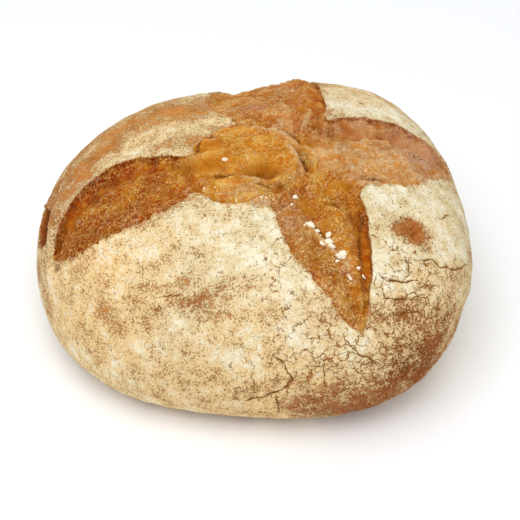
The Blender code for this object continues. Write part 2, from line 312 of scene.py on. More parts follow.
# How much flour lies where, over and under the usual: place, radii, change
USUAL_FLOUR = 0.56
FLOUR_CHANGES = (
    ((-0.030, -0.066), (0.046, 0.024), 0.36),
    ((0.008, -0.100), (0.026, 0.022), 0.40),
    ((0.085, -0.045), (0.046, 0.036), 0.42),
    ((0.030, -0.132), (0.030, 0.014), 0.20),
    ((0.066, -0.128), (0.022, 0.014), 0.14),
    ((-0.090, 0.004), (0.030, 0.007), 0.35),
    ((0.066, 0.044), (0.040, 0.010), 0.40),
    ((-0.033, 0.026), (0.011, 0.005), 0.75),
    ((-0.085, 0.050), (0.085, 0.040), -0.42),
    ((-0.074, 0.018), (0.013, 0.008), 0.30),
    ((-0.060, 0.024), (0.015, 0.006), 0.28),
    ((-0.070, 0.045), (0.014, 0.008), -0.45),
    ((-0.046, 0.050), (0.016, 0.010), -0.40),
    ((-0.094, 0.031), (0.013, 0.009), -0.40),
    ((-0.105, 0.019), (0.008, 0.005), -0.35),
    ((-0.047, 0.010), (0.010, 0.009), -0.50),
    ((-0.083, 0.052), (0.010, 0.007), 0.15),
    ((-0.133, -0.006), (0.016, 0.034), -0.42),
    ((-0.133, -0.056), (0.012, 0.016), 0.26),
    ((0.055, -0.117), (0.014, 0.008), 0.32),
    ((-0.004, -0.150), (0.016, 0.012), 0.22),
    ((-0.112, -0.094), (0.016, 0.010), -0.05),
    ((0.058, -0.081), (0.014, 0.008), 0.30),
    ((-0.086, -0.064), (0.018, 0.008), 0.20),
    ((0.086, -0.158), (0.050, 0.014), -0.30),
    ((0.050, 0.085), (0.050, 0.026), 0.06),
    ((0.115, -0.120), (0.040, 0.044), -0.60),
    ((0.075, -0.168), (0.060, 0.018), -0.45),
    ((-0.055, -0.107), (0.056, 0.008), -0.14),
    ((-0.046, -0.105), (0.012, 0.0035), -0.60),
    ((-0.066, -0.108), (0.006, 0.004), 0.30),
    ((-0.028, -0.075), (0.016, 0.009), 0.10),
    ((0.057, -0.036), (0.008, 0.006), 0.25),
    ((0.007, -0.102), (0.008, 0.010), 0.30),
    ((0.018, -0.126), (0.009, 0.012), 0.50),
    ((-0.004, -0.148), (0.011, 0.008), 0.35),
    ((0.068, -0.110), (0.012, 0.008), 0.30),
    ((0.049, -0.125), (0.010, 0.006), 0.35),
    ((-0.092, 0.019), (0.014, 0.009), -0.32),
    ((-0.107, 0.006), (0.014, 0.008), -0.55),
    ((-0.126, 0.008), (0.010, 0.010), -0.20),
    ((-0.041, -0.040), (0.008, 0.005), -0.22),
    ((-0.008, -0.119), (0.026, 0.0035), -0.35),
    ((-0.060, -0.092), (0.012, 0.0030), -0.20),
    ((0.062, -0.106), (0.014, 0.006), -0.40),
    ((0.042, -0.108), (0.010, 0.008), -0.25),
    ((0.090, -0.102), (0.016, 0.005), -0.30),
    ((-0.024, -0.092), (0.016, 0.006), 0.20),
    ((-0.053, -0.136), (0.008, 0.006), 0.25),
    ((-0.100, -0.096), (0.016, 0.012), -0.12),
    ((0.086, -0.087), (0.008, 0.005), 0.30),
    ((0.053, -0.053), (0.004, 0.0040), -0.35),
    ((-0.100, -0.120), (0.030, 0.016), 0.16),
    ((0.009, -0.177), (0.030, 0.008), 0.25),
    ((-0.045, -0.138), (0.052, 0.020), 0.15),
    ((0.030, -0.150), (0.040, 0.018), 0.14),
    ((-0.128, -0.100), (0.020, 0.016), 0.20),
    ((-0.040, -0.089), (0.009, 0.005), -0.42),
    ((-0.045, -0.077), (0.006, 0.004), -0.30),
    ((-0.014, -0.103), (0.009, 0.006), -0.25),
    ((0.060, -0.078), (0.016, 0.010), 0.34),
    ((-0.041, 0.026), (0.010, 0.005), -0.25),
    ((-0.081, 0.016), (0.006, 0.004), -0.20),
    ((-0.101, 0.010), (0.006, 0.005), 0.30),
    ((-0.112, 0.004), (0.012, 0.012), -0.26),
    ((0.085, 0.044), (0.022, 0.008), 0.20),
    ((-0.037, -0.071), (0.012, 0.007), -0.26),
    ((0.052, 0.060), (0.022, 0.010), 0.18),
    ((0.064, -0.051), (0.0045, 0.0040), -0.80),
)
BARE_SPOT = (0.073, -0.052)
BARE_SPOT_RADII = (0.0115, 0.0100)

# How much less flour lies in the bare spot, the split and a nick, by a crack and at a torn edge,
# how much of it a lip keeps, and how much clings to the underside
BARE_SPOT_LOSS = 1.9
SPLIT_LOSS = 2.0
NICK_LOSS = 0.5
CRACK_LOSS = 0.24
BESIDE_CRACK = 0.0018
EDGE_LOSS = 0.35
LIP_KEEPS = 0.30
UNDERSIDE_FLOUR = 0.12

# Where the flour toasted to a warmer colour: place, radii, and how much
TOASTED = (
    ((-0.110, -0.080), (0.056, 0.076), 1.00),
    ((-0.085, 0.045), (0.080, 0.050), 1.00),
    ((0.000, -0.165), (0.140, 0.055), 0.85),
    ((0.110, -0.110), (0.060, 0.050), 0.85),
    ((0.060, 0.090), (0.060, 0.040), 0.85),
)

# Colours of the bare skin under the flour: place, radii, colour
SKIN = "#BE8448"
SKIN_TONES = (
    ((-0.055, -0.106), (0.055, 0.016), "#B2763E"),
    ((-0.012, -0.052), (0.018, 0.007), "#D8AC70"),
    ((-0.041, -0.040), (0.010, 0.006), "#DAAC78"),
    ((-0.070, 0.060), (0.090, 0.050), "#CE8C44"),
    ((-0.132, 0.000), (0.024, 0.050), "#A86A2C"),
    ((-0.110, 0.004), (0.018, 0.016), "#C8803A"),
    ((0.052, 0.064), (0.040, 0.020), "#DCA67C"),
    ((0.040, -0.185), (0.120, 0.034), "#A86C44"),
    ((0.108, -0.120), (0.062, 0.050), "#894A1A"),
    ((0.073, -0.052), (0.014, 0.012), "#AA6630"),
)
DOUGH_TONES = (
    ((0.090, 0.006), (0.018, 0.014), "#CC9A74"),
    ((-0.019, 0.052), (0.012, 0.007), "#C48C62"),
    ((0.042, -0.001), (0.012, 0.006), "#D2A068"),
    ((0.009, -0.058), (0.010, 0.012), "#BC8050"),
    ((-0.020, -0.039), (0.012, 0.004), "#CF9A58"),
    # This dark tone at the left tear's far end is painted shade where its wall meets its floor
    ((-0.108, -0.046), (0.026, 0.014), "#9E5006"),
    ((0.100, 0.030), (0.024, 0.010), "#D29C72"),
)
TORN_EDGE = "#B67A50"
UNDERSIDE = "#8F6038"
HEART_TONE = "#DB972F"
GOLDEN = "#C07A14"
# Painted shade in the foot of the dimple
DIMPLE_FOOT_SHADE = "#8E5206"
# Painted shade: darkens the torn dough in creases, in deep folds and under a torn lip
CREASE_SHADE = "#7A420A"
# Painted highlight on the crests of the rims and veins, where some flour dust also lies
RIM_HIGHLIGHT_AND_FLOUR = "#E4B880"
FRILL_TONE = "#DCAA74"
# Dark crust deep in the side split, with painted shade in its depth and in the nicks
SPLIT_DARK_AND_SHADE = "#5C2A0E"
SPLIT_EDGE = "#9A5222"

# Unevenness: height and size of the lumps, coarse to fine
CRUST_SWELL = ((0.0014, 0.055), (0.0006, 0.020))
CRUST_GRAIN = ((0.00050, 0.0080), (0.00030, 0.0038))
TORN_LUMPS = ((0.0012, 0.0085), (0.0009, 0.0045))
TORN_GRAIN = ((0.00060, 0.0026),)
# How much the dough's tone is painted lighter on its lumps and darker in its hollows: painted light and
# shade
HEIGHT_SHADING = 400
VEINS = ((1.0, 0.0085),)
VEIN_SHARE = 0.09
VEIN_HEIGHT = 0.0007
EDGE_WANDER = ((0.0016, 0.013), (0.0007, 0.005))
EDGE_FRAY = ((0.0014, 0.0040), (0.0008, 0.0022))
KNOB_WANDER = ((0.0024, 0.015),)
LINE_WANDER = ((0.0007, 0.0040),)
CRACK_WANDER = ((0.0011, 0.0050), (0.0005, 0.0018))
SPOT_WANDER = ((0.0022, 0.0080), (0.0018, 0.0035))
PIT_DEPTH = 0.0006

# Unevenness in strength, amount and colour: share and size of the patches
LINE_STRENGTH = ((1.0, 0.0050),)
PITS = ((1.0, 0.0060),)
VEIN_PATCHES = ((1.0, 0.012),)
FLOUR_DRIFTS = ((0.18, 0.030), (0.42, 0.012), (0.36, 0.0055))
SKIN_MOTTLE = ((0.25, 0.020), (0.20, 0.007))
DOUGH_MOTTLE = ((0.20, 0.016), (0.12, 0.006))
TOAST_MOTTLE = ((0.25, 0.020),)

# Steps of the loaf's profile, and how near the crown a place on the crust may come
PROFILE_STEPS = 400
BASE_STEPS = 100
NEAREST_CROWN = 0.0003

CAGE_SEGMENTS = 81
FINE_BORDER = 0.004
FINEST_BORDER = 0.0020
CRACK_BORDER = 0.6 * CRACK_REACH
SPLIT_BORDER = 1.3 * SIDE_SPLIT_HALF_WIDTH
FOOT_FADE = 0.035


def smoothstep(low, high, x):
    t = np.clip((x - low) / (high - low), 0, 1)
    return t * t * (3 - 2 * t)


def hill(x, middle, width):
    """1 at the middle, fading out on both sides of it."""
    return np.exp(-(((x - middle) / width) ** 2))


def eased(x, points):
    """Height at x on a line through the points that levels out at each of them."""
    places, heights = np.array(points, float).T
    i = np.clip(np.searchsorted(places, x) - 1, 0, len(places) - 2)
    return heights[i] + (heights[i + 1] - heights[i]) * smoothstep(places[i], places[i + 1], x)


def lumps(points, waves, seed):
    """Smooth uneven height at each point, the sum of noises with the given heights and sizes."""
    total = np.zeros(len(points))
    for k, (height, size) in enumerate(waves):
        moved = points / size + 17.3 * (seed + 3 * k)
        total += height * np.array([noise.noise(p) for p in moved])
    return total


def strayed(flat, points, waves, seed):
    """Flat places moved by smooth noise, so that what is drawn with them wanders."""
    return flat + np.stack([lumps(points, waves, seed), lumps(points, waves, seed + 1)], axis=-1)


def linear(code):
    """An sRGB hex colour as linear red, green and blue."""
    srgb = np.array([int(code[i:i + 2], 16) for i in (1, 3, 5)]) / 255
    return np.where(srgb <= 0.04045, srgb / 12.92, ((srgb + 0.055) / 1.055) ** 2.4)


def tint(colours, code, share):
    """Moves colours a share of the way towards the one with the hex code, in place."""
    colours += (linear(code) - colours) * share[:, None]


def profile():
    """The loaf cut from crown to base: share of the radius, height, and distance along the crust."""
    turn = np.linspace(0, np.pi / 2, PROFILE_STEPS)
    above = np.sin(turn) ** (2 / SHOULDER_POWER), np.cos(turn) ** (2 / SHOULDER_POWER)
    below = np.cos(turn[1:]) ** (2 / UNDERCUT_POWER), np.sin(turn[1:]) ** (2 / UNDERCUT_POWER)
    base = np.linspace(FOOT_SHARE, 0, BASE_STEPS)[1:]
    share = np.concatenate([above[0], FOOT_SHARE + (1 - FOOT_SHARE) * below[0], base])
    height = np.concatenate([
        WAIST_HEIGHT + (CROWN_HEIGHT - WAIST_HEIGHT) * above[1],
        WAIST_HEIGHT * (1 - below[1]),
        0 * base,
    ])
    steps = np.hypot(np.diff(share) * MEAN_RADIUS, np.diff(height))
    return share, height, np.concatenate([[0], np.cumsum(steps)])


SHARE, HEIGHT, ALONG = profile()
FOOT_ALONG = ALONG[-BASE_STEPS]
WHOLE_WAY = ALONG[-1]


def plain_surface(along, around):
    """The loaf without its tears, at a distance along the crust from the crown, in a direction."""
    share = np.interp(along, ALONG, SHARE)
    height = np.interp(along, ALONG, HEIGHT)
    waves = sum(c * np.cos(n * around) + s * np.sin(n * around) for n, c, s in OUTLINE_WAVES)
    radius = MEAN_RADIUS * share * (1 + waves)
    lean = height / CROWN_HEIGHT
    x = radius * np.cos(around) + CROWN_LEAN[0] * lean
    y = radius * np.sin(around) + CROWN_LEAN[1] * lean
    return np.stack([x, y, height], axis=-1)


def plain_normals(along, around):
    step, turn = 0.0002, 0.002
    down = plain_surface(along + step, around) - plain_surface(along - step, around)
    across = plain_surface(along, around + turn) - plain_surface(along, around - turn)
    normal = np.cross(down, across)
    return normal / np.linalg.norm(normal, axis=-1, keepdims=True)


def side_width(side, t):
    """Half-width of a tear's side at a share t of the way out."""
    width, peak, point = side
    t = np.clip(t, 0, 1)
    bow = (t / peak) ** peak * ((1 - t) / (1 - peak)) ** (1 - peak)
    return width * bow ** point


def tear_at(tear, flat):
    """(how far inside the tear, height of its floor, height of the lip beside it, colour) there."""
    root, tip = np.array(tear.root), np.array(tear.tip)
    length = np.linalg.norm(tip - root)
    out = (tip - root) / length
    t = (flat - root) @ out / length
    n = (flat - root) @ np.array([-out[1], out[0]])
    width = np.where(n > 0, side_width(tear.left, t), side_width(tear.right, t))
    beyond = length * np.maximum(0, np.maximum(t - 1, -t))
    inside = np.where(beyond > 0, -np.hypot(n, beyond), width - np.abs(n))
    across = np.clip(n / np.maximum(width, 0.001), -1, 1)
    taper = smoothstep(0, 0.012, width)
    floor = taper * smoothstep(0, FLOOR_RUN, t) * eased(across, tear.floor)
    lip = taper * tear.lip_height * smoothstep(0.1, 0.6, tear.lip_side * across)
    steps = [step for step, _ in tear.tone]
    colours = np.array([linear(code) for _, code in tear.tone])
    tone = np.stack([np.interp(across, steps, colours[:, i]) for i in range(3)], axis=-1)
    return inside, floor, lip, tone


def cloud_at(flat, place, radii):
    """1 in the middle of an oval, fading out round it."""
    return np.exp(-(((flat - np.array(place)) / np.array(radii)) ** 2).sum(axis=1))


def clouds_at(flat, clouds):
    """The sum of ovals, each given as its place, its radii and how much."""
    return sum(much * cloud_at(flat, place, radii) for place, radii, much in clouds)


def star_at(flat):
    """The four tears and the heart between them as one: (how far inside, floor, lip, colour)."""
    tears = [tear_at(tear, flat) for tear in TEARS]
    heart = HEART_RADIUS - np.linalg.norm(flat - np.array(HEART), axis=1)
    heart_tone = np.tile(linear(HEART_TONE), (len(flat), 1))
    tears.append((heart, np.full(len(flat), HEART_FLOOR), np.zeros(len(flat)), heart_tone))
    inside, floor, lip, tone = (np.array(values) for values in zip(*tears))
    pull = np.exp((inside - inside.max(axis=0)) / TEAR_BLEND)
    share = pull / pull.sum(axis=0)
    depth_in = inside.max(axis=0) + TEAR_BLEND * (np.log(pull.sum(axis=0)) - 0.4)
    depth_in += clouds_at(flat, EDGE_STRAYS)
    tone = (share[:, :, None] * tone).sum(axis=0)
    return depth_in, (share * floor).sum(axis=0), (share * lip).sum(axis=0), tone


def line_distance(flat, places):
    """(distance from a line, share of the way along it, and 1 on its left or -1 on its right)."""
    places = np.array(places)
    lengths = np.linalg.norm(np.diff(places, axis=0), axis=1)
    starts = np.concatenate([[0], np.cumsum(lengths)])
    best = np.full(len(flat), np.inf)
    share = np.zeros(len(flat))
    side = np.ones(len(flat))
    for a, b, length, start in zip(places[:-1], places[1:], lengths, starts):
        t = np.clip((flat - a) @ (b - a) / length**2, 0, 1)
        distance = np.linalg.norm(flat - a - t[:, None] * (b - a), axis=1)
        turn = (b - a)[0] * (flat - a)[:, 1] - (b - a)[1] * (flat - a)[:, 0]
        nearer = distance < best
        best = np.where(nearer, distance, best)
        share = np.where(nearer, (start + t * length) / starts[-1], share)
        side = np.where(nearer, np.where(turn >= 0, 1, -1), side)
    return best, share, side


def fold_at(flat, places, half_width, height):
    """Height of a fold along a line, lower towards its ends."""
    distance, share, _ = line_distance(flat, places)
    ends = np.clip(4 * np.minimum(share, 1 - share), 0.25, 1)
    return height * ends * hill(distance, 0, half_width)


def bowl_at(flat, place, radii):
    """1 in the middle of an oval, falling to 0 at its rim."""
    distance = np.linalg.norm((flat - np.array(place)) / np.array(radii), axis=1)
    return 1 - smoothstep(0, 1.3, distance)


def rolled_disc(flat, place, radius, height):
    """A low dome with a rolled edge on its right, which fades into the dough on its left."""
    away = flat - np.array(place)
    distance = np.linalg.norm(away, axis=1)
    right_side = smoothstep(-0.7, 0.5, away[:, 0] / np.maximum(distance, 0.001))
    edge = ROLLED_EDGE + (1 - right_side) * radius / 2
    dome = smoothstep(radius + edge / 2, radius - edge / 2, distance)
    roll = hill(distance, radius - ROLL_INSET, ROLL_WIDTH)
    return height * (0.6 * dome + 0.4 * right_side * roll)


def flat_places(cube):
    """Where points of the cube come to lie on the crust laid flat."""
    ball = np.tan(cube * np.pi / 4)
    ball /= np.linalg.norm(ball, axis=1, keepdims=True)
    around = np.arctan2(ball[:, 1], ball[:, 0])
    along = WHOLE_WAY * np.arccos(np.clip(ball[:, 2], -1, 1)) / np.pi
    along = np.maximum(along, NEAREST_CROWN)
    return along[:, None] * np.stack([np.cos(around), np.sin(around)], axis=-1)


def crack_at(flat, points):
    """(distance from the nearest crack, below zero on its right, and that crack's half-width there)."""
    wandering = strayed(flat, points, CRACK_WANDER, seed=11)
    nearest = np.full(len(flat), FAR_FROM_CRACKS)
    side = np.ones(len(flat))
    half_width = np.zeros(len(flat))
    for width, places in CRACKS:
        distance, share, side_here = line_distance(wandering, places)
        length = np.linalg.norm(np.diff(np.array(places), axis=0), axis=1).sum()
        room = np.clip(np.minimum(share, 1 - share) * length / CRACK_TAPER, 0, 1)
        here = np.where(distance < CRACK_REACH, width * room**0.7, 0)
        nearer = distance < nearest
        side = np.where(nearer, side_here, side)
        half_width = np.where(nearer, here, half_width)
        nearest = np.minimum(nearest, distance)
    return side * nearest, half_width


def lines_at(flat, lines, half_width):
    """1 on any of the lines, falling to 0 beside them and towards their ends."""
    total = np.zeros(len(flat))
    for places in lines:
        total = np.maximum(total, fold_at(flat, places, half_width, 1.0))
    return total


def bake(flat):
    """(height, sideways move, and the values that colour the surface) at flat places."""
    along = np.linalg.norm(flat, axis=1)
    around = np.arctan2(flat[:, 1], flat[:, 0])
    points = plain_surface(along, around)
    depth_in, floor, lip, tone = star_at(flat)
    lipped = np.clip(lip / FULL_LIP, 0, 1)
    depth_in = depth_in + lumps(points, EDGE_WANDER, seed=1)
    depth_in = depth_in + (1 - 0.9 * lipped) * lumps(points, EDGE_FRAY, seed=4)
    above_foot = smoothstep(FOOT_ALONG, FOOT_ALONG - FOOT_FADE, along)
    bent = strayed(flat, points, LINE_WANDER, seed=13)
    ragged = strayed(flat, points, SPOT_WANDER, seed=19)

    # Torn dough
    astray = strayed(flat, points, KNOB_WANDER, seed=17)
    rolls = rolled_disc(flat, FLAP, FLAP_RADIUS, FLAP_HEIGHT)
    rolls = rolls + rolled_disc(astray, KNOB, KNOB_RADIUS, KNOB_HEIGHT)
    dimple = bowl_at(flat, DIMPLE, DIMPLE_RADII)
    hollows = sum(depth * bowl_at(flat, place, radii) for place, radii, depth in HOLLOWS)
    folds = sum(fold_at(flat, *fold) for fold in DOUGH_FOLDS)
    uneven = 1 + lumps(points, LINE_STRENGTH, seed=15)
    rim = np.clip(lines_at(bent, RIMS, RIM_HALF_WIDTH) * uneven, 0, 1)
    crease = np.clip(lines_at(bent, CREASES, CREASE_HALF_WIDTH) * uneven, 0, 1)
    pocket = np.max([cloud_at(bent, place, radii) for place, radii in POCKETS], axis=0)
    pitted = smoothstep(0.15, 0.50, lumps(points, PITS, seed=16))
    pocket = np.clip(1.2 * pocket + 0.8 * pitted, 0, 1)
    wall = smoothstep(*WALL_FLOORS, floor)
    slid = np.max([cloud_at(bent, place, radii) for place, radii in SMOOTH_SIDES], axis=0)
    smooth = np.clip(pocket + 0.8 * wall + 0.7 * slid, 0, 1)
    taut = np.abs(lumps(points, VEINS, seed=21)) / VEIN_SHARE
    vein = smoothstep(1.0, 0.2, taut) * smoothstep(-0.10, 0.20, lumps(points, VEIN_PATCHES, seed=22))
    vein = vein * (1 - 0.8 * smooth)
    rough = lumps(points, TORN_LUMPS, seed=2) + (1 - 0.8 * smooth) * lumps(points, TORN_GRAIN, seed=5)
    craggy = clouds_at(flat, CRAGGY)
    rough = rough * (1 + craggy)
    floor = floor + rough + rolls - DIMPLE_DEPTH * dimple - hollows + folds
    floor = floor + RIM_HEIGHT * rim + VEIN_HEIGHT * vein - CREASE_DEPTH * crease - PIT_DEPTH * pitted

    # Crust
    crack, crack_half_width = crack_at(flat, points)
    crack_share = crack_half_width / USUAL_CRACK
    crust = lip * np.exp(np.minimum(depth_in, 0) / LIP_REACH)
    crust = crust + lumps(points, CRUST_SWELL, seed=3) + lumps(points, CRUST_GRAIN, seed=6)
    crust_folds = sum(fold_at(bent, *fold) for fold in CRUST_FOLDS)
    crust = crust + crust_folds
    split_away, split_share, _ = line_distance(bent + 0.9 * (ragged - flat), SIDE_SPLIT)
    split_room = SIDE_SPLIT_HALF_WIDTH * (4 * split_share * (1 - split_share)) ** 0.6
    split = smoothstep(0.0010, -0.0030, split_away - split_room) * (split_room > 0)
    crust = crust - SIDE_SPLIT_DEPTH * split
    crust = crust - CRACK_DEPTH * smoothstep(CRACK_MOUTH, 0, np.abs(crack)) * np.clip(crack_share, 0, 1.5)

    open_share = smoothstep(-TEAR_WALL / 2, TEAR_WALL / 2, depth_in)
    height = (crust + (floor - crust) * open_share - clouds_at(flat, SUNKEN)) * above_foot

    # The lip leans out over the wall, and the wall's foot lies back under it
    step = 0.0005
    slope = np.stack([
        star_at(flat + (step, 0))[0] - star_at(flat - (step, 0))[0],
        star_at(flat + (0, step))[0] - star_at(flat - (0, step))[0],
    ], axis=-1) / (2 * step)
    lean = hill(depth_in, *LIP_LEAN) - 0.5 * hill(depth_in, *FOOT_LEAN)
    sideways = slope * (OVERHANG * lipped * lean)[:, None]

    # Flour
    flour = USUAL_FLOUR + clouds_at(flat, FLOUR_CHANGES) + lumps(points, FLOUR_DRIFTS, seed=7)
    flour = flour - BARE_SPOT_LOSS * bowl_at(ragged, BARE_SPOT, BARE_SPOT_RADII) - SPLIT_LOSS * split
    flour = flour - NICK_LOSS * smoothstep(0.0004, 0.0016, -crust_folds)
    beside_crack = smoothstep(BESIDE_CRACK, 0, np.abs(crack)) * np.clip(crack_share, 0, 1.2)
    flour = flour - CRACK_LOSS * beside_crack
    flour = flour - (EDGE_LOSS - LIP_KEEPS * lipped) * smoothstep(-0.0026, -0.0004, depth_in)
    flour = flour * smoothstep(FOOT_ALONG + 0.010, FOOT_ALONG - 0.030, along)
    flour = flour + UNDERSIDE_FLOUR * (along > FOOT_ALONG)
    toasted = np.max([much * cloud_at(flat, place, radii) for place, radii, much in TOASTED], axis=0)
    toasted = np.clip(toasted + lumps(points, TOAST_MOTTLE, seed=10), 0, 1)

    # Colour of the skin
    skin = np.tile(linear(SKIN), (len(flat), 1))
    for place, radii, code in SKIN_TONES:
        tint(skin, code, cloud_at(flat, place, radii))
    tint(skin, UNDERSIDE, smoothstep(FOOT_ALONG - 0.060, FOOT_ALONG, along))
    tint(skin, TORN_EDGE, smoothstep(-0.0030, -0.0005, depth_in))
    skin *= (1 + lumps(points, SKIN_MOTTLE, seed=8))[:, None]
    nick = smoothstep(0.0006, 0.0018, -crust_folds)
    tint(skin, SPLIT_EDGE, smoothstep(0.02, 0.20, split))
    # Painted shade deep in the split and in the nicks, over the split's darker baked crust
    tint(skin, SPLIT_DARK_AND_SHADE, np.maximum(smoothstep(0.30, 0.90, split), nick))
    tint(skin, FRILL_TONE, 0.8 * hill(depth_in, -0.0006, 0.0010) * (1 - lipped))

    # Colour of the torn dough
    tone *= (1 + lumps(points, DOUGH_MOTTLE, seed=9))[:, None]
    # Painted light and shade: the dough is lighter on its lumps and darker in its hollows
    tone = tone ** np.clip(1.02 - HEIGHT_SHADING * rough, 0.74, 1.26)[:, None]
    for place, radii, code in DOUGH_TONES:
        tint(tone, code, cloud_at(bent, place, radii))
    golden = linear(GOLDEN) * (0.85 * np.sqrt(tone.sum(axis=1) / linear(GOLDEN).sum()))[:, None]
    tone += (golden - tone) * (0.85 * pocket * (1 - 0.7 * wall))[:, None]
    # Painted shade in the foot of the dimple
    tint(tone, DIMPLE_FOOT_SHADE, 0.9 * cloud_at(bent, DIMPLE_FOOT, DIMPLE_FOOT_RADII))
    # Painted shade in the creases and in the deepest folds
    tint(tone, CREASE_SHADE, np.clip(0.9 * crease + np.clip(-folds / DEEPEST_FOLD, 0, 0.35), 0, 0.9))
    # Painted highlight along the rims, and on the crests of the veins where the dough is craggy
    tint(tone, RIM_HIGHLIGHT_AND_FLOUR, np.maximum(0.85 * rim, 0.40 * (1 + craggy) * vein) * (1 - crease))
    # Painted shade in a thin line just under the torn lip
    tint(tone, CREASE_SHADE, 0.35 * hill(depth_in, 0.0003, 0.0005))

    values = {
        "tear_mm": (depth_in + 0.0004 * lipped) * 1000,
        "frayed": 1 - 0.75 * lipped,
        "flour": flour,
        "smooth": smooth,
        "crack_mm": crack * 1000,
        "crack_half_mm": crack_half_width * 1000,
        "crazing": np.clip(clouds_at(flat, CRAZING), 0, 1),
        "toasted": toasted,
        "skin": np.clip(skin, 0, 1),
        "dough": np.clip(tone, 0, 1),
    }
    return height, sideways, values


def raised(flat, height):
    """Places on the loaf at a height over its plain form."""
    along = np.linalg.norm(flat, axis=1)
    around = np.arctan2(flat[:, 1], flat[:, 0])
    normals = plain_normals(np.minimum(along, FOOT_ALONG), around)
    return plain_surface(along, around) + height[:, None] * normals


def cut_finer(piece, wanted):
    """Cuts faces of the cube in four where wanted, a test on their middles laid flat."""
    mesh = piece.data
    middles = np.zeros(len(mesh.polygons) * 3)
    mesh.polygons.foreach_get("center", middles)
    chosen = wanted(flat_places(middles.reshape(-1, 3)))
    mesh.vertices.foreach_set("select", np.zeros(len(mesh.vertices), bool))
    mesh.edges.foreach_set("select", np.zeros(len(mesh.edges), bool))
    mesh.polygons.foreach_set("select", chosen)
    bpy.ops.object.mode_set(mode="EDIT")
    bpy.ops.mesh.subdivide(number_cuts=1)
    bpy.ops.object.mode_set(mode="OBJECT")


bpy.ops.object.select_all(action="DESELECT")
bpy.ops.mesh.primitive_cube_add(size=2)
loaf = bpy.context.object
loaf.name = "baked_loaf"
loaf.data.name = "baked_loaf"
bpy.context.tool_settings.mesh_select_mode = (False, False, True)
bpy.ops.object.mode_set(mode="EDIT")
bpy.ops.mesh.select_all(action="SELECT")
bpy.ops.mesh.subdivide(number_cuts=CAGE_SEGMENTS - 1)
bpy.ops.object.mode_set(mode="OBJECT")


def near_cracks(flat):
    return np.min([line_distance(flat, places)[0] for _, places in CRACKS], axis=0) < CRACK_BORDER


def near_split(flat):
    return line_distance(flat, SIDE_SPLIT)[0] < SPLIT_BORDER


def in_knob(flat):
    return np.linalg.norm(flat - np.array(KNOB), axis=1) < FLAP_RADIUS


# The star is cut finer than the plain crust, and its edges, its middle and the cracks finer still
cut_finer(loaf, lambda flat: (star_at(flat)[0] > -FINE_BORDER) | near_cracks(flat) | near_split(flat))
cut_finer(loaf, lambda flat: (np.abs(star_at(flat)[0]) < FINEST_BORDER) | near_cracks(flat) | in_knob(flat))

# The cube's six sides are laid side by side as its map, before it is blown up to a loaf
mesh = loaf.data
corners = np.zeros(len(mesh.loops), int)
mesh.loops.foreach_get("vertex_index", corners)
cube = np.zeros(len(mesh.vertices) * 3)
mesh.vertices.foreach_get("co", cube)
cube = cube.reshape(-1, 3)
facing = np.zeros(len(mesh.polygons) * 3)
mesh.polygons.foreach_get("normal", facing)
sizes = np.zeros(len(mesh.polygons), int)
mesh.polygons.foreach_get("loop_total", sizes)
facing = np.repeat(facing.reshape(-1, 3), sizes, axis=0)
axis = np.abs(facing).argmax(axis=1)
rows = np.arange(len(corners))
row = (facing[rows, axis] > 0).astype(float)
across = cube[corners][rows, (axis + 1) % 3]
upward = cube[corners][rows, (axis + 2) % 3]
MAP_MARGIN = 0.96
map_across = (axis + 0.5 + MAP_MARGIN * across / 2) / 3
map_up = (row + 0.5 + MAP_MARGIN * upward / 2) / 2
places = np.stack([map_across, map_up], axis=-1)
mesh.uv_layers[0].name = "OFBake"
mesh.uv_layers["OFBake"].uv.foreach_set("vector", places.astype(np.float32).ravel())

flat = flat_places(cube)
height, sideways, values = bake(flat)
points = raised(flat + sideways, height)
low, high = points.min(axis=0), points.max(axis=0)
LOAF_SHIFT = -(low + high) / 2
box_low, box_high = np.array(cad_box)
points[:, :2] += LOAF_SHIFT[:2]
LOAF_FIT = np.minimum(1, (box_high - box_low)[:2] / (high - low)[:2])
points[:, :2] = points[:, :2] * LOAF_FIT + (box_low + box_high)[:2] / 2
points[:, 2] = np.clip(points[:, 2], box_low[2], box_high[2])
mesh.vertices.foreach_set("co", points.ravel())
mesh.update()
mesh.shade_smooth()
for name, value in values.items():
    if value.ndim == 1:
        layer = mesh.attributes.new(name, "FLOAT", "POINT")
        layer.data.foreach_set("value", value.astype(np.float32))
    else:
        layer = mesh.attributes.new(name, "FLOAT_COLOR", "POINT")
        opaque = np.concatenate([value, np.ones((len(value), 1))], axis=1)
        layer.data.foreach_set("color", opaque.astype(np.float32).ravel())


def add(tree, kind, inputs, out=0, **settings):
    """Adds a node to a material, with its settings, and its inputs as values or links."""
    made = tree.nodes.new("ShaderNode" + kind)
    for name, value in settings.items():
        setattr(made, name, value)
    for name, value in inputs.items():
        if isinstance(value, bpy.types.NodeSocket):
            tree.links.new(value, made.inputs[name])
        else:
            made.inputs[name].default_value = value
    return made.outputs[out] if made.outputs else made


def painted(code):
    """An sRGB hex colour as a shader takes it."""
    return (*linear(code), 1)


def new_material(name):
    """(an empty material, its node tree, and places on the piece for it to use)."""
    material = bpy.data.materials.new(name)
    material.use_nodes = True
    material.node_tree.nodes.clear()
    return material, material.node_tree, add(material.node_tree, "TexCoord", {}, out="Object")


# Baked bread crust: a dry, matt skin. The torn dough is golden to reddish brown with pale threads
# of stretched gluten, and raw flour lies on the crust as pale clumps that thin out to a speckle.
crust, tree, place = new_material("Baked bread crust, floured")

FLOUR_THICK = "#DECB9F"
FLOUR_HEAPED = "#F2E8CB"
SCORCHED = "#8E6430"
FLOUR_THIN = "#DCB07A"
FLOUR_TOASTED = "#EDC88D"
THREADS = "#FFBE7C"
CRACK_DARK = "#7C4A1A"
CRAZE_BROWN = "#A0632E"

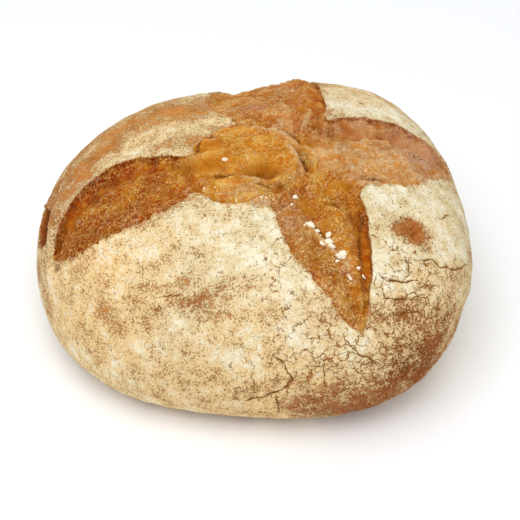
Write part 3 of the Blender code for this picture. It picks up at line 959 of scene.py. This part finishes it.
# Grains of flour are far finer than this: they show as the clumps that they cling together in
GRAIN_SIZE = 0.0011
CLUMP_SIZE = 0.0030
DOUGH_GRAIN_SIZE = 0.0020
THREAD_SIZE = 0.0019
STRAND_CELL = 0.0046
SAND_SIZE = 0.0013
DRY_PATCH_SIZE = 0.0065
BEND = 0.0050
CRAZE_SIZE = 0.0058
BUBBLE_SIZE = 0.0042
PINHOLE_SPACING = 0.0045

# Pale flecks on the torn dough: how they gather in dry patches, how light and how pale they are
DRY_PATCH_SHARE = 0.30
FLECK_LIGHTENING = 0.51
FLECK_PALENESS = 0.38

# Flour falls out of gaps and heaps up smoothly, and it shields the crust from being scorched
GAP_LOSS = 0.6
HEAP_SMOOTHING = 0.7
CLUMP_SCORCH = 0.14
FLOUR_SHIELD = 0.165
SCORCH_LEVEL = 0.494

# How dark hair cracks, open cracks and pinholes are inside
CRAZE_DARKNESS = 0.7
CRACK_DARKNESS = 0.85
HOLE_DARKNESS = 0.6

# Height of a bump of 1, and how many of that each thing rises or falls
BUMP_HEIGHT = 0.0006
SPECK_RISE = 1.2
COVER_RISE = 0.4
THICK_RISE = 0.5
CLUMP_RISE = 1.3
GAP_DEPTH = 0.7

grain = add(tree, "TexNoise", {"Vector": place, "Scale": 1 / GRAIN_SIZE, "Detail": 2.0, "Roughness": 0.6})
clump = add(tree, "TexNoise", {"Vector": place, "Scale": 1 / CLUMP_SIZE, "Detail": 2.0, "Roughness": 0.6})
blotch = add(
    tree, "TexNoise", {"Vector": place, "Scale": 1 / DOUGH_GRAIN_SIZE, "Detail": 3.0, "Roughness": 0.72},
)
thread = add(
    tree, "TexNoise",
    {"Vector": place, "Scale": 1 / THREAD_SIZE, "Detail": 1.0, "Roughness": 0.5, "Distortion": 0.5},
)

# The torn edge, with fine teeth where it is frayed
tear_mm = add(tree, "Attribute", {}, out="Fac", attribute_name="tear_mm")
frayed = add(tree, "Attribute", {}, out="Fac", attribute_name="frayed")
teeth = add(
    tree, "MapRange", {"Value": clump, "From Min": 0.3, "From Max": 0.7, "To Min": -1.0, "To Max": 1.0},
)
torn_at = add(tree, "Math", {0: teeth, 1: frayed, 2: tear_mm}, operation="MULTIPLY_ADD")
torn = add(
    tree, "MapRange", {"Value": torn_at, "From Min": -0.20, "From Max": 0.20},
    interpolation_type="SMOOTHSTEP",
)

# Torn dough: a soft grain in its tone, a net of pale strands of gluten, and pale flecks
smooth_at = add(tree, "Attribute", {}, out="Fac", attribute_name="smooth")
dough_colour = add(tree, "Attribute", {}, out="Color", attribute_name="dough")
rough_share = add(tree, "MapRange", {"Value": smooth_at, "To Min": 1.0, "To Max": 0.15})
speck = add(tree, "Math", {0: blotch, 1: 0.5}, operation="SUBTRACT")
speck = add(tree, "Math", {0: speck, 1: rough_share}, operation="MULTIPLY")
dark_grain = add(
    tree, "MapRange", {"Value": speck, "From Min": -0.16, "From Max": 0.16, "To Min": 1.50, "To Max": 0.78},
)
dough = add(tree, "Gamma", {"Color": dough_colour, "Gamma": dark_grain})
strand = add(tree, "Math", {0: thread, 1: 0.5}, operation="SUBTRACT")
strand = add(tree, "Math", {0: strand}, operation="ABSOLUTE")
strand = add(
    tree, "MapRange", {"Value": strand, "From Min": 0.085, "From Max": 0.020},
    interpolation_type="SMOOTHSTEP",
)
strand_bits = add(
    tree, "MapRange", {"Value": clump, "From Min": 0.47, "From Max": 0.60, "To Min": 0.0, "To Max": 0.60},
    interpolation_type="SMOOTHSTEP",
)
strand = add(tree, "Math", {0: strand, 1: strand_bits}, operation="MULTIPLY")
bend = add(tree, "TexNoise", {"Vector": place, "Scale": 1 / CLUMP_SIZE, "Detail": 2.0}, out="Color")
bend = add(tree, "VectorMath", {0: bend, 1: (0.5, 0.5, 0.5)}, operation="SUBTRACT")
bend = add(tree, "VectorMath", {0: bend, "Scale": BEND}, operation="SCALE")
bent_place = add(tree, "VectorMath", {0: place, 1: bend}, operation="ADD")
seam = add(tree, "TexVoronoi", {"Vector": bent_place, "Scale": 1 / STRAND_CELL}, feature="DISTANCE_TO_EDGE")
seam = add(
    tree, "MapRange", {"Value": seam, "From Min": 0.11, "From Max": 0.02}, interpolation_type="SMOOTHSTEP",
)
seam_bits = add(
    tree, "MapRange", {"Value": blotch, "From Min": 0.48, "From Max": 0.58, "To Min": 0.0, "To Max": 0.60},
    interpolation_type="SMOOTHSTEP",
)
seam = add(tree, "Math", {0: seam, 1: seam_bits}, operation="MULTIPLY")
sand = add(tree, "TexNoise", {"Vector": place, "Scale": 1 / SAND_SIZE, "Detail": 2.0, "Roughness": 0.7})
dry = add(tree, "TexNoise", {"Vector": place, "Scale": 1 / DRY_PATCH_SIZE, "Detail": 2.0, "Roughness": 0.6})
sand = add(tree, "Math", {0: dry, 1: DRY_PATCH_SHARE, 2: sand}, operation="MULTIPLY_ADD")
flecks = add(
    tree, "MapRange", {"Value": sand, "From Min": 0.67, "From Max": 0.78, "To Min": 0.0, "To Max": 0.90},
    interpolation_type="SMOOTHSTEP",
)
pale = add(tree, "Math", {0: strand, 1: seam}, operation="MAXIMUM")
pale = add(tree, "Math", {0: pale, 1: flecks}, operation="MAXIMUM")
pale = add(tree, "Math", {0: pale, 1: rough_share}, operation="MULTIPLY")
fleck_colour = add(tree, "Gamma", {"Color": dough_colour, "Gamma": FLECK_LIGHTENING})
fleck_colour = add(
    tree, "Mix", {0: FLECK_PALENESS, 6: fleck_colour, 7: painted(THREADS)}, out=2, data_type="RGBA",
)
dough = add(tree, "Mix", {0: pale, 6: dough, 7: fleck_colour}, out=2, data_type="RGBA")

# Skin under the flour
skin_colour = add(tree, "Attribute", {}, out="Color", attribute_name="skin")
skin_grain = add(
    tree, "MapRange", {"Value": blotch, "From Min": 0.30, "From Max": 0.70, "To Min": 1.40, "To Max": 0.74},
)
skin = add(tree, "Gamma", {"Color": skin_colour, "Gamma": skin_grain})
bare = add(tree, "Mix", {0: torn, 6: skin, 7: dough}, out=2, data_type="RGBA")

# Crazed skin: broken hair cracks, and the gaps between little domes of flour
net = add(tree, "TexVoronoi", {"Vector": bent_place, "Scale": 1 / CRAZE_SIZE}, feature="DISTANCE_TO_EDGE")
domes = add(
    tree, "TexVoronoi", {"Vector": bent_place, "Scale": 1 / BUBBLE_SIZE}, feature="DISTANCE_TO_EDGE",
)
craze_mask = add(tree, "Attribute", {}, out="Fac", attribute_name="crazing")
broken = add(tree, "TexNoise", {"Vector": place, "Scale": 1 / CRAZE_SIZE, "Detail": 1.0})
broken = add(
    tree, "MapRange",
    {"Value": broken, "From Min": 0.35, "From Max": 0.65, "To Min": -0.70, "To Max": 0.50},
)
craze_here = add(tree, "Math", {0: craze_mask, 1: broken}, operation="ADD")
craze_width = add(
    tree, "MapRange",
    {"Value": craze_here, "From Min": 0.0, "From Max": 1.0, "To Min": -0.02, "To Max": 0.045},
)
crazed = add(tree, "Math", {0: craze_width, 1: net}, operation="SUBTRACT")
crazed = add(
    tree, "MapRange", {"Value": crazed, "From Min": -0.015, "From Max": 0.02},
    interpolation_type="SMOOTHSTEP",
)
valleys = add(
    tree, "MapRange", {"Value": domes, "From Min": 0.18, "From Max": 0.0, "To Min": 0.0, "To Max": 0.30},
    interpolation_type="SMOOTHSTEP",
)
valleys = add(tree, "Math", {0: valleys, 1: craze_mask}, operation="MULTIPLY")

# Open cracks, with crumbling sides
crack_mm = add(tree, "Attribute", {}, out="Fac", attribute_name="crack_mm")
crack_half_mm = add(tree, "Attribute", {}, out="Fac", attribute_name="crack_half_mm")
crack_away = add(tree, "Math", {0: crack_mm}, operation="ABSOLUTE")
crumbling = add(
    tree, "MapRange", {"Value": grain, "From Min": 0.3, "From Max": 0.7, "To Min": 0.0, "To Max": 1.7},
)
crack_wide = add(tree, "Math", {0: crack_half_mm, 1: crumbling}, operation="MULTIPLY")
cracked = add(tree, "Math", {0: crack_wide, 1: crack_away}, operation="SUBTRACT")
cracked = add(
    tree, "MapRange", {"Value": cracked, "From Min": -0.10, "From Max": 0.12},
    interpolation_type="SMOOTHSTEP",
)
whole_skin = add(tree, "Math", {0: 1.0, 1: torn}, operation="SUBTRACT")
gaps = add(tree, "Math", {0: crazed, 1: cracked}, operation="MAXIMUM")
gaps = add(tree, "Math", {0: gaps, 1: whole_skin}, operation="MULTIPLY")

# Pinholes, where a bubble in the skin burst
hole = add(tree, "TexVoronoi", {"Vector": place, "Scale": 1 / PINHOLE_SPACING}, feature="F1")
hole_size = add(
    tree, "MapRange", {"Value": clump, "From Min": 0.35, "From Max": 0.65, "To Min": 0.16, "To Max": 0.02},
)
holes = add(tree, "Math", {0: hole_size, 1: hole}, operation="SUBTRACT")
holes = add(
    tree, "MapRange", {"Value": holes, "From Min": -0.03, "From Max": 0.04},
    interpolation_type="SMOOTHSTEP",
)
holes = add(tree, "Math", {0: holes, 1: whole_skin}, operation="MULTIPLY")

# Flour: covers where its amount beats the grain of the crust
flour_at = add(tree, "Attribute", {}, out="Fac", attribute_name="flour")
fine = add(
    tree, "MapRange", {"Value": grain, "From Min": 0.25, "From Max": 0.75, "To Min": -0.54, "To Max": 0.54},
)
coarse = add(
    tree, "MapRange", {"Value": clump, "From Min": 0.25, "From Max": 0.75, "To Min": -0.36, "To Max": 0.36},
)
sprinkled = add(
    tree, "MapRange",
    {"Value": flour_at, "From Min": 0.15, "From Max": 0.85, "To Min": 1.15, "To Max": 0.45},
)
fine = add(tree, "Math", {0: fine, 1: sprinkled}, operation="MULTIPLY")
flour_here = add(tree, "Math", {0: flour_at, 1: fine}, operation="ADD")
flour_here = add(tree, "Math", {0: flour_here, 1: coarse}, operation="ADD")
flour_here = add(tree, "Math", {0: flour_here, 1: valleys}, operation="SUBTRACT")
flour_here = add(tree, "Math", {0: gaps, 1: -GAP_LOSS, 2: flour_here}, operation="MULTIPLY_ADD")
cover = add(
    tree, "MapRange", {"Value": flour_here, "From Min": -0.12, "From Max": 0.46},
    interpolation_type="SMOOTHSTEP",
)
cover = add(tree, "Math", {0: cover, 1: whole_skin}, operation="MULTIPLY")
flour_thick = add(tree, "MapRange", {"Value": flour_here, "From Min": 0.10, "From Max": 0.62})
toasted_at = add(tree, "Attribute", {}, out="Fac", attribute_name="toasted")
flour_full = add(
    tree, "Mix", {0: toasted_at, 6: painted(FLOUR_THICK), 7: painted(FLOUR_TOASTED)}, out=2,
    data_type="RGBA",
)
flour_colour = add(
    tree, "Mix", {0: flour_thick, 6: painted(FLOUR_THIN), 7: flour_full}, out=2, data_type="RGBA",
)
heaped = add(tree, "Math", {0: fine, 1: -HEAP_SMOOTHING, 2: flour_here}, operation="MULTIPLY_ADD")
heaped = add(tree, "MapRange", {"Value": heaped, "From Min": 0.72, "From Max": 1.25})
flour_colour = add(
    tree, "Mix", {0: heaped, 6: flour_colour, 7: painted(FLOUR_HEAPED)}, out=2, data_type="RGBA",
)
colour = add(tree, "Mix", {0: cover, 6: bare, 7: flour_colour}, out=2, data_type="RGBA")

# Scorched specks of crust that poke through the flour, in drifts
wrinkled = add(
    tree, "MapRange",
    {"Value": domes, "From Min": 0.14, "From Max": 0.0, "To Min": -0.020, "To Max": 0.095},
)
drift = add(tree, "Math", {0: coarse, 1: CLUMP_SCORCH, 2: wrinkled}, operation="MULTIPLY_ADD")
drift = add(tree, "Math", {0: flour_at, 1: -FLOUR_SHIELD, 2: drift}, operation="MULTIPLY_ADD")
drift = add(tree, "Math", {0: drift, 1: SCORCH_LEVEL}, operation="ADD")
scorched = add(tree, "Math", {0: drift, 1: grain}, operation="SUBTRACT")
scorched = add(
    tree, "MapRange", {"Value": scorched, "From Min": -0.012, "From Max": 0.035, "To Max": 0.72},
    interpolation_type="SMOOTHSTEP",
)
scorched = add(tree, "Math", {0: scorched, 1: cover}, operation="MULTIPLY")
colour = add(tree, "Mix", {0: scorched, 6: colour, 7: painted(SCORCHED)}, out=2, data_type="RGBA")

# Hair cracks, open cracks and pinholes are brown inside
craze_dark = add(tree, "Math", {0: crazed, 1: CRAZE_DARKNESS}, operation="MULTIPLY")
craze_dark = add(tree, "Math", {0: craze_dark, 1: whole_skin}, operation="MULTIPLY")
colour = add(tree, "Mix", {0: craze_dark, 6: colour, 7: painted(CRAZE_BROWN)}, out=2, data_type="RGBA")
crack_dark = add(tree, "Math", {0: cracked, 1: CRACK_DARKNESS}, operation="MULTIPLY")
crack_dark = add(tree, "Math", {0: crack_dark, 1: whole_skin}, operation="MULTIPLY")
crack_dark = add(
    tree, "Math", {0: holes, 1: HOLE_DARKNESS, 2: crack_dark}, operation="MULTIPLY_ADD", use_clamp=True,
)
colour = add(tree, "Mix", {0: crack_dark, 6: colour, 7: painted(CRACK_DARK)}, out=2, data_type="RGBA")

# The height of it all: threads stand up, pores and cracks go down, flour lies on top
dough_up = add(tree, "Math", {0: speck, 1: SPECK_RISE, 2: pale}, operation="MULTIPLY_ADD")
dough_up = add(tree, "Math", {0: dough_up, 1: torn}, operation="MULTIPLY")
up = add(tree, "Math", {0: cover, 1: COVER_RISE, 2: dough_up}, operation="MULTIPLY_ADD")
up = add(tree, "Math", {0: flour_thick, 1: THICK_RISE, 2: up}, operation="MULTIPLY_ADD")
up = add(tree, "Math", {0: coarse, 1: CLUMP_RISE, 2: up}, operation="MULTIPLY_ADD")
up = add(tree, "Math", {0: gaps, 1: -GAP_DEPTH, 2: up}, operation="MULTIPLY_ADD")
bumps = add(tree, "Bump", {"Height": up, "Distance": BUMP_HEIGHT, "Strength": 0.9})
dullness = add(tree, "MapRange", {"Value": cover, "To Min": 0.75, "To Max": 0.95})
surface = add(
    tree, "BsdfPrincipled",
    {"Base Color": colour, "Roughness": dullness, "Normal": bumps, "Specular IOR Level": 0.08},
)
add(tree, "OutputMaterial", {"Surface": surface})
loaf.data.materials.append(crust)

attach(loaf, "root")
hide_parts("loaf")


# Flour lumps
# Damp flour from the basket that rolled into lumps and settled in the front tear, with one beside
# the knob. Soft, white and crumbly, each one a ball pressed out of round.

# Each lump: place on the crust laid flat, its radii along, across and up, and how far it is turned
FLOUR_LUMPS = (
    ((0.0103, -0.0444), (0.0015, 0.0012, 0.0010), 40),
    ((0.0082, -0.0513), (0.0007, 0.0006, 0.0005), 0),
    ((0.0190, -0.0630), (0.0026, 0.0014, 0.0011), -28),
    ((0.0231, -0.0655), (0.0012, 0.0010, 0.0009), 20),
    ((0.0289, -0.0655), (0.0018, 0.0014, 0.0012), 35),
    ((0.0296, -0.0694), (0.0028, 0.0023, 0.0018), -35),
    ((0.0312, -0.0722), (0.0020, 0.0012, 0.0012), -50),
    ((0.0263, -0.0722), (0.0016, 0.0010, 0.0006), -35),
    ((0.0368, -0.0766), (0.0027, 0.0022, 0.0017), 10),
    ((0.0349, -0.0806), (0.0013, 0.0008, 0.0006), 10),
    ((0.0460, -0.0818), (0.0012, 0.0010, 0.0007), 0),
    ((0.0495, -0.0845), (0.0020, 0.0007, 0.0005), -60),
    ((0.0428, -0.0882), (0.0022, 0.0008, 0.0006), -60),
    ((-0.0290, -0.0118), (0.0017, 0.0011, 0.0010), 60),
)

# How far a lump's middle lies above the dough, as a share of its radius
LUMP_LIFT = 0.45


def seated(flat):
    """Where things lie on the loaf at flat places."""
    height, sideways, _ = bake(flat)
    seats = raised(flat + sideways, height)
    seats[:, :2] = (seats[:, :2] + LOAF_SHIFT[:2]) * LOAF_FIT + (box_low + box_high)[:2] / 2
    return seats


def joined(pieces, name):
    """Makes one piece of many."""
    bpy.ops.object.select_all(action="DESELECT")
    for piece in pieces:
        piece.select_set(True)
    bpy.context.view_layer.objects.active = pieces[0]
    bpy.ops.object.join()
    bpy.context.object.name = name
    return bpy.context.object


bpy.ops.object.select_all(action="DESELECT")
lump_places = np.array([lump[0] for lump in FLOUR_LUMPS])
seats = seated(lump_places)
seat_normals = plain_normals(
    np.linalg.norm(lump_places, axis=1), np.arctan2(lump_places[:, 1], lump_places[:, 0]),
)
lump_pieces = []
for k, ((_, radii, turned), seat, normal) in enumerate(zip(FLOUR_LUMPS, seats, seat_normals)):
    bpy.ops.mesh.primitive_ico_sphere_add(subdivisions=4, radius=1)
    lump = bpy.context.object
    turn = Vector(normal).to_track_quat("Z", "Y").to_matrix() @ Matrix.Rotation(np.radians(turned), 3, "Z")
    for vertex in lump.data.vertices:
        way = vertex.co.copy()
        coarse_swell = 0.45 * noise.noise(way * 1.2 + Vector((k, 0, 0)))
        fine_swell = 0.22 * noise.noise(way * 3.0 + Vector((0, k, 0)))
        shaped = Vector((1 + coarse_swell + fine_swell) * np.array(radii) * np.array(way))
        vertex.co = turn @ (shaped + Vector((0, 0, LUMP_LIFT * radii[2]))) + Vector(seat)
    lump.data.shade_smooth()
    lump_pieces.append(lump)
lump_pieces = joined(lump_pieces, "flour_lumps")

# Wheat flour, pressed damp: a matt, almost white powder with a fine crumbly grain
FLOUR_WHITE = "#FFF8E6"
FLOUR_SHADE = "#F3E3C0"
CRUMBLE_SIZE = 0.0006
CRUMBLE_HEIGHT = 0.0003
raw_flour, tree, place = new_material("Wheat flour lumps")
crumble = add(tree, "TexNoise", {"Vector": place, "Scale": 1 / CRUMBLE_SIZE, "Detail": 3.0})
colour = add(
    tree, "Mix", {0: crumble, 6: painted(FLOUR_SHADE), 7: painted(FLOUR_WHITE)}, out=2, data_type="RGBA",
)
bumps = add(tree, "Bump", {"Height": crumble, "Distance": CRUMBLE_HEIGHT, "Strength": 0.7})
surface = add(
    tree, "BsdfPrincipled",
    {"Base Color": colour, "Roughness": 0.95, "Normal": bumps, "Specular IOR Level": 0.2},
)
add(tree, "OutputMaterial", {"Surface": surface})
lump_pieces.data.materials.append(raw_flour)

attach(lump_pieces, "root")


# Crumbs
# Bits of dough skin and dried flour that broke off where the dough tore, caught along the front
# edge of the torn middle and sprinkled over the tears. Each one is a rough, pressed ball.

# Lines that the crumbs gathered along, with how many lie there and how far they strayed
CRUMB_LINES = (
    (((-0.049, -0.040), (-0.042, -0.035), (-0.037, -0.034)), 16, 0.0022),
    (((-0.028, -0.047), (-0.019, -0.052), (-0.010, -0.046), (-0.002, -0.044)), 26, 0.0020),
    (((0.011, -0.058), (0.033, -0.075), (0.045, -0.092)), 14, 0.0016),
)
SPRINKLED = 110
CRUMB_SIZES = (0.00030, 0.00075)
GRAIN_SIZES = (0.00018, 0.00034)
CRUMB_SWELL = 0.7
CRUMB_LIFT = 0.3

chance = np.random.default_rng(7)
crumb_places = []
for places, count, stray in CRUMB_LINES:
    places = np.array(places)
    steps = np.linspace(0, len(places) - 1, count) + chance.uniform(-0.1, 0.1, count)
    on_line = np.stack([np.interp(steps, np.arange(len(places)), places[:, i]) for i in range(2)], axis=-1)
    crumb_places.append(on_line + chance.normal(0, stray, (count, 2)))
crumb_places = np.concatenate(crumb_places)
scattered = chance.uniform((-0.125, -0.110), (0.115, 0.075), (SPRINKLED * 6, 2))
scattered = scattered[star_at(scattered)[0] > 0.002][:SPRINKLED]
crumb_sizes = np.concatenate([
    chance.uniform(*CRUMB_SIZES, len(crumb_places)),
    chance.uniform(*GRAIN_SIZES, len(scattered)),
])
crumb_places = np.concatenate([crumb_places, scattered])

crumb_pieces = []
for k, (size, seat) in enumerate(zip(crumb_sizes, seated(crumb_places))):
    bpy.ops.mesh.primitive_ico_sphere_add(subdivisions=2, radius=1)
    crumb = bpy.context.object
    for vertex in crumb.data.vertices:
        swell = 1 + CRUMB_SWELL * noise.noise(vertex.co * 1.4 + Vector((k, 5, 0)))
        vertex.co = vertex.co * size * swell + Vector(seat) + Vector((0, 0, CRUMB_LIFT * size))
    crumb.data.shade_smooth()
    crumb_pieces.append(crumb)
crumbs = joined(crumb_pieces, "crumbs")

# Dried dough and flour: matt, golden where the dough shows and cream where flour covers it
CRUMB_GOLD = "#D9A04A"
CRUMB_CREAM = "#FBE8BC"
CRUMB_APART = 0.0025
dried, tree, place = new_material("Dried dough crumbs")
which = add(tree, "TexNoise", {"Vector": place, "Scale": 1 / CRUMB_APART, "Detail": 1.0})
which = add(tree, "MapRange", {"Value": which, "From Min": 0.38, "From Max": 0.56})
colour = add(
    tree, "Mix", {0: which, 6: painted(CRUMB_GOLD), 7: painted(CRUMB_CREAM)}, out=2, data_type="RGBA",
)
surface = add(tree, "BsdfPrincipled", {"Base Color": colour, "Roughness": 0.9, "Specular IOR Level": 0.2})
add(tree, "OutputMaterial", {"Surface": surface})
crumbs.data.materials.append(dried)

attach(crumbs, "root")


# The floor, the light and the camera
# A plain white table under a soft studio sky, with one large lamp high above the loaf and a
# little to its front and left, and the camera at the photo's angle, looking down along +Y.

FLOOR_WHITE = "#FFFFFF"
bpy.ops.object.select_all(action="DESELECT")
bpy.ops.mesh.primitive_plane_add(size=6)
floor = bpy.context.object
floor.name = "floor"
table_top = bpy.data.materials.new("White table")
table_top.use_nodes = True
paint = table_top.node_tree.nodes["Principled BSDF"]
paint.inputs["Base Color"].default_value = painted(FLOOR_WHITE)
paint.inputs["Roughness"].default_value = 0.9
floor.data.materials.append(table_top)

SKY_STRENGTH = 0.71
SKY_COLOUR = "#F8FBFF"
sky = bpy.data.worlds.new("studio")
sky.use_nodes = True
sky.node_tree.nodes["Background"].inputs["Color"].default_value = painted(SKY_COLOUR)
sky.node_tree.nodes["Background"].inputs["Strength"].default_value = SKY_STRENGTH
bpy.context.scene.world = sky

LAMP_PLACE = (-0.15, -0.32, 1.10)
LAMP_SIZE = 0.9
LAMP_POWER = 7.0
lamp_data = bpy.data.lights.new("lamp", "AREA")
lamp_data.size = LAMP_SIZE
lamp_data.energy = LAMP_POWER
lamp = bpy.data.objects.new("lamp", lamp_data)
lamp.location = LAMP_PLACE
lamp.rotation_euler = Vector(LAMP_PLACE).to_track_quat("Z", "Y").to_euler()
bpy.context.scene.collection.objects.link(lamp)

CAMERA_AIM = Vector((0.0065, -0.0063, 0.0368))
CAMERA_DISTANCE = 0.8
CAMERA_HEIGHT_DEGREES = 44.22
CAMERA_LENS = 90.37
tilt = np.radians(CAMERA_HEIGHT_DEGREES)
back = Vector((0, -np.cos(tilt), np.sin(tilt)))
camera_data = bpy.data.cameras.new("camera")
camera_data.lens = CAMERA_LENS
camera = bpy.data.objects.new("camera", camera_data)
camera.location = CAMERA_AIM + back * CAMERA_DISTANCE
camera.rotation_euler = back.to_track_quat("Z", "Y").to_euler()
bpy.context.scene.collection.objects.link(camera)
bpy.context.scene.camera = camera
bpy.context.scene.view_settings.view_transform = "Standard"
